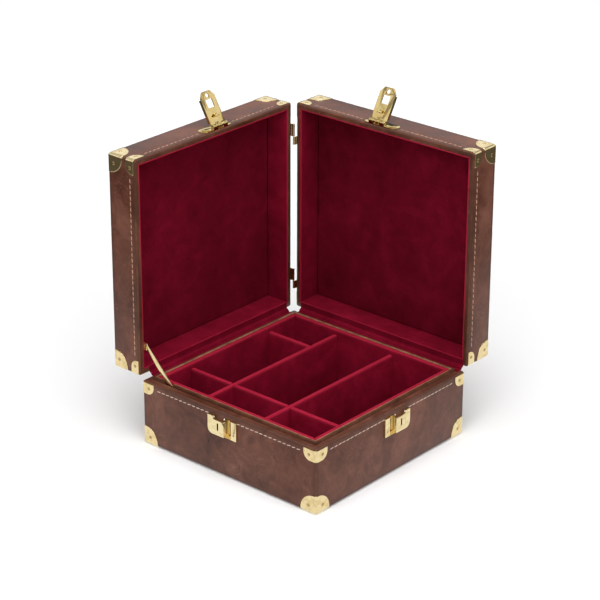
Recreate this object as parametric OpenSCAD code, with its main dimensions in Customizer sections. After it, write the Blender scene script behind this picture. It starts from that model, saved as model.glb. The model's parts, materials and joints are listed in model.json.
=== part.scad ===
// Leather jewellery case: a square tray with seven velvet compartments and two full-size lids.
// The left lid is hinged on the tray's -X edge, the right lid on its +Y edge, and both stand open.
// The origin is the middle of the underside, and +Z is up. All sizes are in millimetres.

/* [Case] */
// Width of the tray, along X
case_w = 220; // [180:1:270]
// Depth of the tray, along Y
case_d = 220; // [180:1:270]
// Height of the tray, from the table to its shoulder
tray_h = 67; // [56:1:90]
// Depth of each lid, from the hinge axis plane to its outer face
lid_depth = 35; // [29:1:45]
// Radius of the standing edges of the leather
edge_r = 2; // [1:0.5:3]

/* [Walls] */
// Thickness of the leather
leather_t = 1; // [0.8:0.1:1.4]
// Thickness of the tray's wall boards
tray_board_t = 5.8; // [4.8:0.1:7]
// Thickness of the tray's bottom board
bottom_board_t = 3; // [2:0.5:5]
// Thickness of the board under each lid's outer face
lid_top_t = 3; // [2:0.5:4]
// Thickness of the locating lip that stands up inside the tray's walls
lip_t = 3.2; // [2.6:0.1:4]
// Height of the locating lip above the shoulder
lip_h = 3; // [2:0.5:5]
// Thickness of the velvet-covered boards that line the tray's walls
lining_t = 4.5; // [3:0.5:6]
// Thickness of the velvet on the lids' side walls
lid_velvet_t = 1.5; // [0.6:0.1:1.8]
// Thickness of the padded velvet panel in each lid
lid_pad_t = 5; // [3:0.5:8]
// Thickness of the velvet pad on the tray's floor
floor_pad_t = 3; // [2:0.5:5]
// How far the leather turns in under the tray
turn_in = 15; // [10:1:20]

/* [Compartments] */
// Thickness of each divider
divider_t = 4.5; // [3:0.5:6]
// How far the dividers' tops lie below the shoulder
divider_drop = 2; // [1:0.5:8]
// Clear width of the first column, by the left hinge
column_1_w = 52; // [40:1:60]
// Clear width of the middle column
column_2_w = 67; // [50:1:75]
// Clear length of the cells at the front
front_cell_l = 37; // [25:1:50]
// Clear length of the cell at the back of the first column
back_cell_l = 36; // [25:1:50]

/* [Lid hinges] */
// Distance of each hinge axis outside the tray's wall
hinge_offset = 3; // [2.8:0.1:4]
// Distance between the two hinges of one lid
hinge_spread = 70; // [60:1:90]
// Length of one hinge
hinge_l = 30; // [24:1:36]
// Length of the lid's own knuckle
lid_knuckle_l = 10; // [8:1:12]
// Height of one hinge leaf
leaf_h = 14; // [10:1:18]
// Thickness of the hinge leaves
leaf_t = 0.8; // [0.6:0.1:1]
// Radius of the hinge pin
hinge_pin_r = 1.1; // [0.9:0.1:1.3]

/* [Corner hinges between the lids] */
// Height of the lower corner hinge above the lids' lower edge
corner_hinge_low = 20; // [18:1:30]
// Distance of the upper corner hinge's foot below the lids' upper edge
corner_hinge_down = 44; // [40:1:60]
// Length of the knuckle on the right lid
corner_foot_l = 8.5; // [6:0.5:12]
// Length of the knuckle on the left lid
corner_head_l = 13; // [12:0.5:16]
// Radius of the corner knuckles
corner_knuckle_r = 0.95; // [0.9:0.05:1]
// Radius of the loose pins
corner_pin_r = 0.5; // [0.4:0.05:0.55]
// Length of the loose pins
corner_pin_l = 12; // [10:0.5:12]
// Width of the corner leaves
corner_leaf_w = 10; // [6:1:14]
// Thickness of the corner leaves
corner_leaf_t = 0.6; // [0.5:0.05:0.65]

/* [Corner brasses] */
// Thickness of the brass corners
brass_t = 0.5; // [0.4:0.05:0.5]
// Width of the two-face corners at the rims
rim_corner_w = 15; // [10:0.5:20]
// Height of the two-face corners at the tray's rim
tray_corner_h = 13; // [9:0.5:15]
// Height of the two-face corners at the lids' rims
lid_corner_h = 11; // [9:0.5:13]
// Radius of the two-face corners' outline
rim_corner_r = 8; // [3:0.5:9]
// How far the two-face corners start from the rim
rim_corner_set = 1.5; // [1:0.5:3]
// Size of the three-face corners along each edge
cap_w = 18.5; // [15:0.5:20]
// Radius of the three-face corners' outline
cap_r = 16; // [8:1:17]
// Distance of the three-face corners' rivets along the face
cap_rivet_out = 9; // [5:0.5:10]
// Distance of the three-face corners' rivets from the nearest flat face
cap_rivet_up = 7.5; // [5:0.5:10]
// Radius of the rivet heads
rivet_r = 1.8; // [1:0.1:2.2]
// Height of the rivet heads
rivet_h = 0.4; // [0.2:0.1:0.6]

/* [Stay] */
// Distance from the hinge axis to both ends of the stay
stay_reach = 32; // [26:1:36]
// Length of the stay beyond its pivot
stay_l = 53; // [51:1:54]
// Width of the stay
stay_w = 4.4; // [3:0.2:5]
// Thickness of the stay
stay_t = 1.3; // [1:0.1:1.5]
// Radius of the stay's pivot
stay_pin_r = 1.1; // [0.8:0.1:1.4]

/* [Locks] */
// Length of a lock plate
lock_w = 35; // [32:1:40]
// Height of a lock plate
lock_h = 19; // [17:0.5:22]
// Distance of a lock's top below the shoulder
lock_drop = 5.3; // [4:0.1:8]
// How far a lock lies from the middle of its wall, away from the front corner
lock_shift = 4; // [0:0.5:8]
// Thickness of the lock's case
lock_case_t = 3.5; // [3.2:0.1:3.6]
// Thickness of the lock's plate
lock_plate_t = 2.2; // [1.8:0.1:2.4]
// Radius of the bolt
bolt_r = 0.85; // [0.6:0.05:0.9]
// Travel of the bolt
bolt_travel = 4.2; // [3:0.1:4.5]

/* [Hasps] */
// Length of a hasp, from its axis to its tip
hasp_l = 35; // [32:1:38]
// Width of a hasp
hasp_w = 19.5; // [16:0.5:20]
// Thickness of a hasp
hasp_t = 1; // [0.8:0.1:1.2]
// How far a hasp leans back from upright
hasp_lean = 30; // [20:1:30]
// Distance of the hasp's axis outside the lid's edge
hasp_offset = 3; // [3:0.1:3.4]
// Distance of the hasp's axis from the hinge axis plane
hasp_rise = 3.3; // [3:0.1:4]
// Radius of the hasp's knuckles
hasp_knuckle_r = 2; // [1.8:0.1:2]
// Radius of the hasp's pin
hasp_pin_r = 1; // [0.8:0.1:1.1]

/* [Hidden] */
$fn = 48;

LEATHER = [0.44, 0.29, 0.25];
BOARD = [0.72, 0.58, 0.42];
VELVET = [0.5, 0.04, 0.13];
RIM_LEATHER = [0.33, 0.17, 0.12];
BRASS = [0.88, 0.76, 0.45];
STEEL = [0.85, 0.83, 0.8];

glue_gap = 0.05;       // between pieces that are glued face to face
run_gap = 0.05;        // radial play of a pin in its bore
lid_gap = 0.3;         // between a closed lid's rim and the shoulder, and around the lip
overlap = 0.01;        // how far a cut passes the face it opens
hx = case_w / 2;
hy = case_d / 2;
skin_foot = brass_t;   // the leather starts on top of the foot corners

lip_in = leather_t + tray_board_t + glue_gap;
lining_in = lip_in + lip_t + glue_gap;
cell_in = lining_in + lining_t;
board_z = skin_foot + leather_t;
inner_floor = board_z + bottom_board_t;
pad_top = inner_floor + glue_gap + floor_pad_t;
lining_top = tray_h + lip_h - 0.4;
divider_top = tray_h - divider_drop;

lid_rim_in = lip_in - lid_gap;
lid_board_in = lid_rim_in - lid_velvet_t;
lid_board_t = lid_board_in - leather_t - glue_gap;
lid_inner_top = lid_depth - leather_t - lid_top_t;

cell_x0 = -hx + cell_in;
cell_x1 = hx - cell_in;
cell_y0 = -hy + cell_in;
cell_y1 = hy - cell_in;
long_left_x = cell_x0 + column_1_w;
long_right_x = long_left_x + divider_t + column_2_w;
cross_front_y = cell_y0 + front_cell_l;
cross_back_y = cell_y1 - back_cell_l - divider_t;

knuckle_r = hinge_offset - 0.4;
knuckle_gap = 0.25;
leaf_clear = knuckle_r + 0.3;

corner_axis_off = 1.75;
corner_heights = [corner_hinge_low, min(case_w, case_d) - corner_hinge_down];
corner_gap = 0.5;

stay_inset = lip_in + lip_t / 2 + 0.2;
stay_mouth_l = stay_reach - 6.6;
stay_mouth_r = stay_reach + 4.6;
stay_mouth_depth = 0.5;
stay_slot_r = stay_reach + 14.5;
stay_slot_depth = stay_l + 1;
bracket_w = 8;
bracket_top = 9;
bracket_face = stay_inset - stay_t / 2 - 0.25;

lock_z = tray_h - lock_drop - lock_h / 2;
case_edge_u = -3;      // where the raised case ends and the channel begins
key_u = 4.8;           // the keyhole, and the middle of the hasp that covers it
notch_u0 = -3.5;
notch_u1 = 10.5;
notch_depth = 3.6;
bolt_v = lock_h / 2 - 1.6;
bolt_w = 2.2;
bolt_held = 2.8;       // what stays in the bore when the bolt is right across
bolt_l = bolt_travel + bolt_held;
bolt_rest_u = notch_u1 - 1.1;

hasp_y = lock_shift + key_u;
hasp_plate_y = hasp_y - 3;
hasp_n = lock_case_t + lid_gap - hasp_offset;
hasp_knuckle_l = 7;
hasp_plate_t = 0.8;
staple_s = tray_h + hasp_rise - lock_z - bolt_v;

// ---------------------------------------------------------------- placing

// A lid is drawn closed, in its own frame: X runs from the hinge axis across the tray, Y along
// the axis with +Y towards the case's back corner, and Z up from the shoulder.
module on_left_axis() {
    translate([-hx - hinge_offset, 0, tray_h]) children();
}

module on_right_axis() {
    translate([0, hy + hinge_offset, tray_h]) rotate([0, 0, -90]) mirror([0, 1, 0]) children();
}

module left_open() {
    on_left_axis() rotate([0, -90, 0]) children();
}

module right_open() {
    on_right_axis() rotate([0, -90, 0]) children();
}

// A lock is drawn with X away from the front corner, Y up and Z out of the wall.
module on_front_left() {
    translate([-lock_shift, -hy, lock_z]) rotate([90, 0, 0]) mirror([1, 0, 0]) children();
}

module on_front_right() {
    translate([hx, lock_shift, lock_z]) rotate([90, 0, 90]) children();
}

// ---------------------------------------------------------------- shared shapes

module rounded_block(w, d, z0, z1) {
    translate([0, 0, z0]) linear_extrude(z1 - z0) {
        square([w - 2 * edge_r, d], center = true);
        square([w, d - 2 * edge_r], center = true);
        for (sx = [-1, 1], sy = [-1, 1])
            translate([sx * (w / 2 - edge_r), sy * (d / 2 - edge_r)]) circle(edge_r);
    }
}

module block(w, d, z0, z1) {
    translate([-w / 2, -d / 2, z0]) cube([w, d, z1 - z0]);
}

// Four mitred boards around a rectangle of half sizes ax and ay, t thick, each its own solid.
module mitred_frame(ax, ay, t, z0, z1) {
    translate([0, 0, z0]) linear_extrude(z1 - z0)
        for (s = [-1, 1]) {
            polygon([[-ax + glue_gap, s * ay], [ax - glue_gap, s * ay],
                     [ax - t - glue_gap, s * (ay - t)], [-ax + t + glue_gap, s * (ay - t)]]);
            polygon([[s * ax, -ay + glue_gap], [s * ax, ay - glue_gap],
                     [s * (ax - t), ay - t - glue_gap], [s * (ax - t), -ay + t + glue_gap]]);
        }
}

// Outline of one brass face: the corner at the origin, its far corner rounded.
module lobe(w, h, r, y0) {
    translate([-brass_t, y0]) square([w + brass_t, h - r - y0]);
    translate([-brass_t, y0]) square([w - r + brass_t, h - y0]);
    translate([w - r, h - r]) intersection() {
        circle(r);
        square(r);
    }
}

module on_face_y() {
    rotate([90, 0, 0]) linear_extrude(brass_t) children();
}

module on_face_x() {
    rotate([90, 0, 90]) translate([0, 0, -brass_t]) linear_extrude(brass_t) children();
}

// Two-face corner: the box fills +X +Y +Z, and the rim is the plane Z = 0.
module rim_corner(h) {
    on_face_y() lobe(rim_corner_w, h, rim_corner_r, rim_corner_set);
    on_face_x() lobe(rim_corner_w, h, rim_corner_r, rim_corner_set);
}

module cap_corner() {
    on_face_y() lobe(cap_w, cap_w, cap_r, -brass_t);
    on_face_x() lobe(cap_w, cap_w, cap_r, -brass_t);
    translate([0, 0, -brass_t]) linear_extrude(brass_t) lobe(cap_w, cap_w, cap_r, -brass_t);
}

module rivet_head() {
    cylinder(h = rivet_h, r1 = rivet_r, r2 = rivet_r * 0.6);
}

// Rivet heads on the two standing faces of a corner, u along the face and v along its edge.
module corner_rivets(u, v) {
    translate([u, -brass_t, v]) rotate([90, 0, 0]) rivet_head();
    translate([-brass_t, u, v]) rotate([0, -90, 0]) rivet_head();
}

module rim_rivets(h) {
    corner_rivets(rim_corner_w - rim_corner_r + 1.5, h / 2 + 0.5);
}

// The four corners of a box of half sizes ax and ay, each turned so that the box fills +X +Y.
module at_corners(ax, ay) {
    translate([-ax, -ay, 0]) children();
    translate([ax, -ay, 0]) mirror([1, 0, 0]) children();
    translate([-ax, ay, 0]) mirror([0, 1, 0]) children();
    translate([ax, ay, 0]) mirror([1, 0, 0]) mirror([0, 1, 0]) children();
}

module rod_y(r, y0, y1) {
    translate([0, y0, 0]) rotate([-90, 0, 0]) cylinder(h = y1 - y0, r = r);
}

// ---------------------------------------------------------------- tray

module tray_walls() {
    color(BOARD)
        mitred_frame(hx - leather_t - glue_gap, hy - leather_t - glue_gap,
                     tray_board_t - 2 * glue_gap, board_z, tray_h - leather_t - glue_gap);
}

module tray_bottom_board() {
    color(BOARD)
        block(case_w - 2 * lip_in, case_d - 2 * lip_in, board_z, inner_floor);
}

module tray_leather() {
    shoulder_in = leather_t + tray_board_t;
    color(LEATHER) difference() {
        rounded_block(case_w, case_d, skin_foot, tray_h);
        block(case_w - 2 * leather_t, case_d - 2 * leather_t, board_z - glue_gap,
              tray_h - leather_t);
        block(case_w - 2 * shoulder_in, case_d - 2 * shoulder_in, board_z - glue_gap,
              tray_h + overlap);
        block(case_w - 2 * turn_in, case_d - 2 * turn_in, skin_foot - overlap, board_z);
    }
}

module underside_panel() {
    corner = cap_w + 1;
    inset = 4;
    color(LEATHER) difference() {
        block(case_w - 2 * inset, case_d - 2 * inset, 0, skin_foot);
        for (sx = [-1, 1], sy = [-1, 1])
            translate([sx * hx, sy * hy, 0]) block(2 * corner, 2 * corner, -1, 1);
    }
    color(LEATHER)
        block(case_w - 2 * turn_in - 2 * glue_gap, case_d - 2 * turn_in - 2 * glue_gap,
              skin_foot, board_z - glue_gap);
}

module locating_lip() {
    axis_x = -hx - hinge_offset;
    color(RIM_LEATHER) difference() {
        mitred_frame(hx - lip_in, hy - lip_in, lip_t, inner_floor + glue_gap, tray_h + lip_h);
        translate([axis_x + stay_mouth_l, -hy, tray_h - stay_slot_depth])
            cube([stay_mouth_r - stay_mouth_l, lining_in, stay_slot_depth + lip_h + 1]);
        translate([axis_x + stay_mouth_l, -hy, tray_h - stay_slot_depth])
            cube([stay_slot_r - stay_mouth_l, lining_in, stay_slot_depth - stay_mouth_depth]);
    }
}

module tray_lining() {
    color(VELVET)
        mitred_frame(hx - lining_in, hy - lining_in, lining_t - glue_gap,
                     inner_floor + glue_gap, lining_top);
}

module floor_pad() {
    color(VELVET)
        block(case_w - 2 * cell_in, case_d - 2 * cell_in, inner_floor + glue_gap, pad_top);
}

module divider(x0, x1, y0, y1) {
    color(VELVET)
        translate([x0 + glue_gap, y0 + glue_gap, pad_top + glue_gap])
            cube([x1 - x0 - 2 * glue_gap, y1 - y0 - 2 * glue_gap,
                  divider_top - pad_top - glue_gap]);
}

module divider_long_left() {
    divider(long_left_x, long_left_x + divider_t, cell_y0, cell_y1);
}

module divider_long_right() {
    divider(long_right_x, long_right_x + divider_t, cell_y0, cell_y1);
}

module divider_cross_left() {
    divider(cell_x0, long_left_x, cross_front_y, cross_front_y + divider_t);
}

module divider_cross_middle() {
    divider(long_left_x + divider_t, long_right_x, cross_front_y, cross_front_y + divider_t);
}

module divider_cross_right() {
    divider(long_right_x + divider_t, cell_x1, cross_front_y, cross_front_y + divider_t);
}

module divider_cross_back() {
    divider(cell_x0, long_left_x, cross_back_y, cross_back_y + divider_t);
}

module tray_rim_corners() {
    color(BRASS) translate([0, 0, tray_h]) mirror([0, 0, 1]) at_corners(hx, hy)
        rim_corner(tray_corner_h);
}

module tray_foot_corners() {
    color(BRASS) translate([0, 0, skin_foot]) at_corners(hx, hy) cap_corner();
}

module tray_rivets() {
    color(BRASS) {
        translate([0, 0, tray_h]) mirror([0, 0, 1]) at_corners(hx, hy)
            rim_rivets(tray_corner_h);
        translate([0, 0, skin_foot]) at_corners(hx, hy)
            corner_rivets(cap_rivet_out, cap_rivet_up);
    }
}

// ---------------------------------------------------------------- locks

module lock_outline(u0, u1) {
    foot_r = 6;
    difference() {
        translate([u0, -lock_h / 2]) square([u1 - u0, lock_h]);
        translate([notch_u0, lock_h / 2 - notch_depth])
            square([notch_u1 - notch_u0, notch_depth + 1]);
        difference() {
            translate([lock_w / 2 - foot_r, -lock_h / 2 - 1]) square([foot_r + 1, foot_r + 1]);
            translate([lock_w / 2 - foot_r, -lock_h / 2 + foot_r]) circle(foot_r);
        }
    }
}

module key_slot() {
    slot_l = 7.5;
    slot_r = 0.9;
    translate([key_u, -0.5, -1]) linear_extrude(lock_case_t + 2) {
        square([2 * slot_r, slot_l - 2 * slot_r], center = true);
        for (s = [-1, 1]) translate([0, s * (slot_l / 2 - slot_r)]) circle(slot_r);
    }
}

// A shallow concave channel beside the case.
module lock_channel() {
    channel_w = 8;
    channel_deep = 1.6;
    channel_r = (channel_w * channel_w / 4 + channel_deep * channel_deep) / (2 * channel_deep);
    intersection() {
        translate([case_edge_u - channel_w, -lock_h / 2 + 4, 0])
            cube([channel_w, lock_h, lock_case_t]);
        translate([case_edge_u - channel_w / 2, -lock_h, lock_plate_t + channel_r - channel_deep])
            rotate([-90, 0, 0]) cylinder(h = 2 * lock_h, r = channel_r);
    }
}

module lock() {
    color(BRASS) difference() {
        union() {
            linear_extrude(lock_plate_t) lock_outline(-lock_w / 2, lock_w / 2);
            linear_extrude(lock_case_t) lock_outline(case_edge_u, lock_w / 2);
        }
        key_slot();
        lock_channel();
        translate([notch_u1 - 1, bolt_v, bolt_w]) rotate([0, 90, 0])
            cylinder(h = lock_w / 2 - notch_u1 + 0.4, r = bolt_r + run_gap);
    }
    color(BRASS) translate([-lock_w / 2 + 3.5, -lock_h / 2 + 4, lock_plate_t]) rivet_head();
}

module bolt() {
    color(STEEL) translate([bolt_rest_u, bolt_v, bolt_w]) rotate([0, 90, 0])
        cylinder(h = bolt_l, r = bolt_r);
}

module lock_nail() {
    nail_r = 0.9;
    color(STEEL) translate([notch_u0 + 2.6, lock_h / 2 - 1.5, 0])
        cylinder(h = 0.6, r1 = nail_r, r2 = nail_r / 2);
}

module front_left_lock() { on_front_left() lock(); }
module front_right_lock() { on_front_right() lock(); }
module front_left_bolt() { on_front_left() bolt(); }
module front_right_bolt() { on_front_right() bolt(); }

module lock_nails() {
    on_front_left() lock_nail();
    on_front_right() lock_nail();
}

// ---------------------------------------------------------------- lid hinges

module hinge_places() {
    for (s = [-1, 1]) translate([0, s * hinge_spread / 2, 0]) children();
}

// One leaf below the axis, with its knuckles in the given stretches of Y.
module hinge_leaf(stretches) {
    difference() {
        union() {
            translate([hinge_offset - leaf_t, -hinge_l / 2, -leaf_h])
                cube([leaf_t, hinge_l, leaf_h - leaf_clear]);
            for (y = stretches) {
                rod_y(knuckle_r, y[0], y[1]);
                translate([hinge_offset - leaf_t, y[0], -leaf_clear - overlap])
                    cube([leaf_t, y[1] - y[0], leaf_clear + overlap]);
            }
        }
        rod_y(hinge_pin_r + run_gap, -hinge_l, hinge_l);
    }
}

module tray_leaves() {
    inner = lid_knuckle_l / 2 + knuckle_gap;
    color(BRASS) hinge_places()
        hinge_leaf([[-hinge_l / 2, -inner], [inner, hinge_l / 2]]);
}

module lid_leaves() {
    color(BRASS) hinge_places() mirror([0, 0, 1])
        hinge_leaf([[-lid_knuckle_l / 2, lid_knuckle_l / 2]]);
}

module hinge_pins() {
    color(BRASS) hinge_places() rod_y(hinge_pin_r, -hinge_l / 2 - 0.5, hinge_l / 2 + 0.5);
}

module left_tray_leaves() { on_left_axis() tray_leaves(); }
module right_tray_leaves() { on_right_axis() tray_leaves(); }
module left_hinge_pins() { on_left_axis() hinge_pins(); }
module right_hinge_pins() { on_right_axis() hinge_pins(); }

// ---------------------------------------------------------------- lids
// l is the lid's size across the tray and w its size along the hinge axis.

module in_lid(l) {
    translate([hinge_offset + l / 2, 0, 0]) children();
}

module lid_walls(l, w) {
    color(BOARD) in_lid(l)
        mitred_frame(l / 2 - leather_t - glue_gap, w / 2 - leather_t - glue_gap,
                     lid_board_t - glue_gap, lid_gap + leather_t + glue_gap,
                     lid_depth - leather_t - glue_gap);
}

module lid_board(l, w) {
    color(BOARD) in_lid(l)
        block(l - 2 * lid_board_in - 2 * glue_gap, w - 2 * lid_board_in - 2 * glue_gap,
              lid_inner_top, lid_depth - leather_t - glue_gap);
}

module lid_leather(l, w) {
    color(LEATHER) in_lid(l) difference() {
        rounded_block(l, w, lid_gap, lid_depth);
        block(l - 2 * leather_t, w - 2 * leather_t, lid_gap + leather_t, lid_depth - leather_t);
        block(l - 2 * lid_board_in, w - 2 * lid_board_in, lid_gap - overlap,
              lid_gap + leather_t + overlap);
    }
}

module lid_lining(l, w) {
    color(VELVET) in_lid(l)
        mitred_frame(l / 2 - lid_board_in, w / 2 - lid_board_in, lid_velvet_t, lid_gap,
                     lid_inner_top - glue_gap);
}

module lid_pad(l, w) {
    inset = lid_rim_in + glue_gap;
    color(VELVET) in_lid(l)
        block(l - 2 * inset, w - 2 * inset, lid_inner_top - lid_pad_t,
              lid_inner_top - glue_gap);
}

module lid_rim_corners(l, w) {
    color(BRASS) in_lid(l) translate([0, 0, lid_gap]) at_corners(l / 2, w / 2)
        rim_corner(lid_corner_h);
}

module lid_caps(l, w) {
    color(BRASS) in_lid(l) translate([0, 0, lid_depth]) mirror([0, 0, 1])
        at_corners(l / 2, w / 2) cap_corner();
}

module lid_rivets(l, w) {
    color(BRASS) in_lid(l) {
        translate([0, 0, lid_gap]) at_corners(l / 2, w / 2) rim_rivets(lid_corner_h);
        translate([0, 0, lid_depth]) mirror([0, 0, 1]) at_corners(l / 2, w / 2) {
            corner_rivets(cap_rivet_out, cap_rivet_up);
            translate([cap_rivet_out, cap_rivet_out, -brass_t]) mirror([0, 0, 1])
                rivet_head();
        }
    }
}

// The axis of the corner hinges runs along X, just outside the lid's rim and its side.
module at_corner_axis(w) {
    translate([hinge_offset, w / 2 + corner_axis_off, corner_axis_off - hinge_offset])
        children();
}

// Leaf and knuckle over the stretch x0 to x0 + l of the corner axis.
module corner_leaf(w, x0, l) {
    web = 0.7;
    air = 0.25;
    color(BRASS) difference() {
        union() {
            at_corner_axis(w) translate([x0, 0, 0]) rotate([0, 90, 0])
                cylinder(h = l, r = corner_knuckle_r);
            translate([hinge_offset + x0, w / 2, lid_gap])
                cube([l, corner_leaf_t, corner_leaf_w]);
            translate([hinge_offset + x0, w / 2 + air, corner_axis_off - hinge_offset - web / 2])
                cube([l, corner_leaf_t - air, hinge_offset - corner_axis_off + web + lid_gap]);
            translate([hinge_offset + x0, w / 2 + air, corner_axis_off - hinge_offset - web / 2])
                cube([l, corner_axis_off - air, web]);
        }
        at_corner_axis(w) translate([x0 - 1, 0, 0]) rotate([0, 90, 0])
            cylinder(h = l + 2, r = corner_pin_r + run_gap);
    }
}

module corner_pin(i) {
    start = corner_heights[i] + corner_foot_l + corner_gap;
    color(BRASS) left_open() at_corner_axis(case_d)
        translate([start + (corner_head_l - corner_pin_l) / 2, 0, 0]) rotate([0, 90, 0])
            cylinder(h = corner_pin_l, r = corner_pin_r);
}

module corner_pin_lower() { corner_pin(0); }
module corner_pin_upper() { corner_pin(1); }

// ---------------------------------------------------------------- hasps

module at_hasp_axis(l, y) {
    translate([hinge_offset + l + hasp_offset, y, hasp_rise]) children();
}

module hasp_plate(l) {
    plate_w = 40;
    plate_h = 12;
    knuckle_y = hasp_knuckle_l / 2 + knuckle_gap;
    knuckle_end = hasp_w / 2;
    foot = hasp_rise - hasp_knuckle_r;
    color(BRASS) difference() {
        union() {
            translate([hinge_offset + l, hasp_plate_y, foot + plate_h / 2]) rotate([90, 0, 90])
                linear_extrude(hasp_plate_t) {
                    square([plate_w - plate_h, plate_h], center = true);
                    for (s = [-1, 1])
                        translate([s * (plate_w - plate_h) / 2, 0]) circle(plate_h / 2);
                }
            for (s = [-1, 1]) {
                at_hasp_axis(l, hasp_y)
                    rod_y(hasp_knuckle_r, min(s * knuckle_y, s * knuckle_end),
                          max(s * knuckle_y, s * knuckle_end));
                translate([hinge_offset + l, hasp_y + s * (knuckle_y + knuckle_end) / 2, foot])
                    block(2 * hasp_offset, knuckle_end - knuckle_y, 0, 2 * hasp_knuckle_r);
            }
        }
        at_hasp_axis(l, hasp_y) rod_y(hasp_pin_r + run_gap, -hasp_w, hasp_w);
        translate([hinge_offset + l - 2 * hasp_offset, hasp_y, foot])
            block(4 * hasp_offset, 2 * hasp_w, -1, 2 * hasp_knuckle_r + 1);
    }
    color(BRASS) for (s = [-1, 1])
        translate([hinge_offset + l + hasp_plate_t, hasp_plate_y + s * 14, foot + plate_h / 2])
            rotate([0, 90, 0]) rivet_head();
}

module hasp_pin(l) {
    color(BRASS) at_hasp_axis(l, hasp_y) rod_y(hasp_pin_r, -hasp_w / 2, hasp_w / 2);
}

module hasp_outline() {
    window = [8.5, 8.5];
    window_set = 8.2;      // from the tip to the window
    eye_set = 4.2;         // from the tip to the middle of the eye
    eye_r = 2.2;
    tip = 5.5;             // length of the tapered tip
    tip_in = 4.3;          // how far its sides draw in
    half = hasp_w / 2;
    difference() {
        polygon([[-half, -hasp_knuckle_r - 0.3], [-half, tip - hasp_l],
                 [tip_in - half, -hasp_l], [half - tip_in, -hasp_l],
                 [half, tip - hasp_l], [half, -hasp_knuckle_r - 0.3]]);
        translate([0, eye_set - hasp_l]) circle(eye_r);
        translate([-window[0] / 2, window_set - hasp_l]) square(window);
    }
}

// The hasp hangs down from its axis, as it does over the lock.
module hasp_body() {
    rib_w = 1.2;
    rib_h = 2.4;
    rib_top = -4;
    tail = 1.4;
    staple_w = 5;
    staple_h = 3;
    bolt_n = bolt_w - hasp_offset;
    color(BRASS) difference() {
        union() {
            rotate([90, 0, 90]) translate([0, 0, hasp_n]) linear_extrude(hasp_t) hasp_outline();
            for (s = [-1, 1])
                translate([hasp_n + hasp_t - overlap, s * (hasp_w - rib_w) / 2 - rib_w / 2,
                           -hasp_l + 7])
                    cube([rib_h, rib_w, hasp_l - 7 + rib_top]);
            translate([0, -hasp_knuckle_l / 2, -hasp_knuckle_r - 2])
                cube([hasp_n + hasp_t, hasp_knuckle_l, hasp_knuckle_r + 2 + tail]);
            rod_y(hasp_knuckle_r, -hasp_knuckle_l / 2, hasp_knuckle_l / 2);
            translate([bolt_n - 1.8, -staple_w / 2, -staple_s - staple_h / 2])
                cube([hasp_n - bolt_n + 1.8 + overlap, staple_w, staple_h]);
            translate([hasp_n + hasp_t - overlap, 0, -staple_s]) rotate([0, 90, 0])
                cylinder(h = 0.6, r1 = 2.2, r2 = 1.2);
        }
        rod_y(hasp_pin_r + run_gap, -hasp_w, hasp_w);
        translate([bolt_n, 0, -staple_s]) rod_y(1.1, -hasp_w, hasp_w);
    }
}

module hasp(l) {
    at_hasp_axis(l, hasp_y) rotate([0, hasp_lean - 150, 0]) hasp_body();
}

// ---------------------------------------------------------------- stay

module stay_bracket() {
    pin_len = stay_t + 0.5;
    color(BRASS) left_open() {
        translate([stay_reach - bracket_w / 2, -hy + bracket_face - leaf_t, -stay_pin_r - 0.8])
            cube([bracket_w, leaf_t, bracket_top + stay_pin_r + 0.8]);
        translate([stay_reach - bracket_w / 2, -hy + lid_rim_in, lid_gap])
            cube([bracket_w, bracket_face - lid_rim_in - leaf_t + overlap,
                  bracket_top - lid_gap]);
        translate([stay_reach, -hy + bracket_face - overlap, 0]) rod_y(stay_pin_r, 0, pin_len);
    }
}

module stay_pin() {
    color(BRASS) left_open() translate([stay_reach, -hy + bracket_face + stay_t + 0.5, 0])
        rod_y(1.9, 0, 0.4);
}

module stay_arm() {
    eye_r = 2.7;
    color(BRASS)
        translate([-hx - hinge_offset, -hy + stay_inset + stay_t / 2, tray_h + stay_reach])
            rotate([0, 45, 0]) rotate([90, 0, 0]) linear_extrude(stay_t) difference() {
                union() {
                    circle(eye_r);
                    translate([0, -stay_w / 2]) square([stay_l - stay_w / 2, stay_w]);
                    translate([stay_l - stay_w / 2, 0]) circle(stay_w / 2);
                }
                circle(stay_pin_r + run_gap);
            }
}

// ---------------------------------------------------------------- the two lids in place

module left_lid_walls() { left_open() lid_walls(case_w, case_d); }
module left_lid_board() { left_open() lid_board(case_w, case_d); }
module left_lid_leather() { left_open() lid_leather(case_w, case_d); }
module left_lid_lining() { left_open() lid_lining(case_w, case_d); }
module left_lid_pad() { left_open() lid_pad(case_w, case_d); }
module left_lid_leaves() { left_open() lid_leaves(); }
module left_lid_rim_corners() { left_open() lid_rim_corners(case_w, case_d); }
module left_lid_caps() { left_open() lid_caps(case_w, case_d); }
module left_lid_rivets() { left_open() lid_rivets(case_w, case_d); }
module left_hasp_plate() { left_open() hasp_plate(case_w); }
module left_hasp_pin() { left_open() hasp_pin(case_w); }
module left_hasp() { left_open() hasp(case_w); }

module left_corner_leaves() {
    left_open() for (z = corner_heights)
        corner_leaf(case_d, z + corner_foot_l + corner_gap, corner_head_l);
}

module right_lid_walls() { right_open() lid_walls(case_d, case_w); }
module right_lid_board() { right_open() lid_board(case_d, case_w); }
module right_lid_leather() { right_open() lid_leather(case_d, case_w); }
module right_lid_lining() { right_open() lid_lining(case_d, case_w); }
module right_lid_pad() { right_open() lid_pad(case_d, case_w); }
module right_lid_leaves() { right_open() lid_leaves(); }
module right_lid_rim_corners() { right_open() lid_rim_corners(case_d, case_w); }
module right_lid_caps() { right_open() lid_caps(case_d, case_w); }
module right_lid_rivets() { right_open() lid_rivets(case_d, case_w); }
module right_hasp_plate() { right_open() hasp_plate(case_d); }
module right_hasp_pin() { right_open() hasp_pin(case_d); }
module right_hasp() { right_open() hasp(case_d); }

module right_corner_leaves() {
    right_open() for (z = corner_heights) corner_leaf(case_w, z, corner_foot_l);
}

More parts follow.
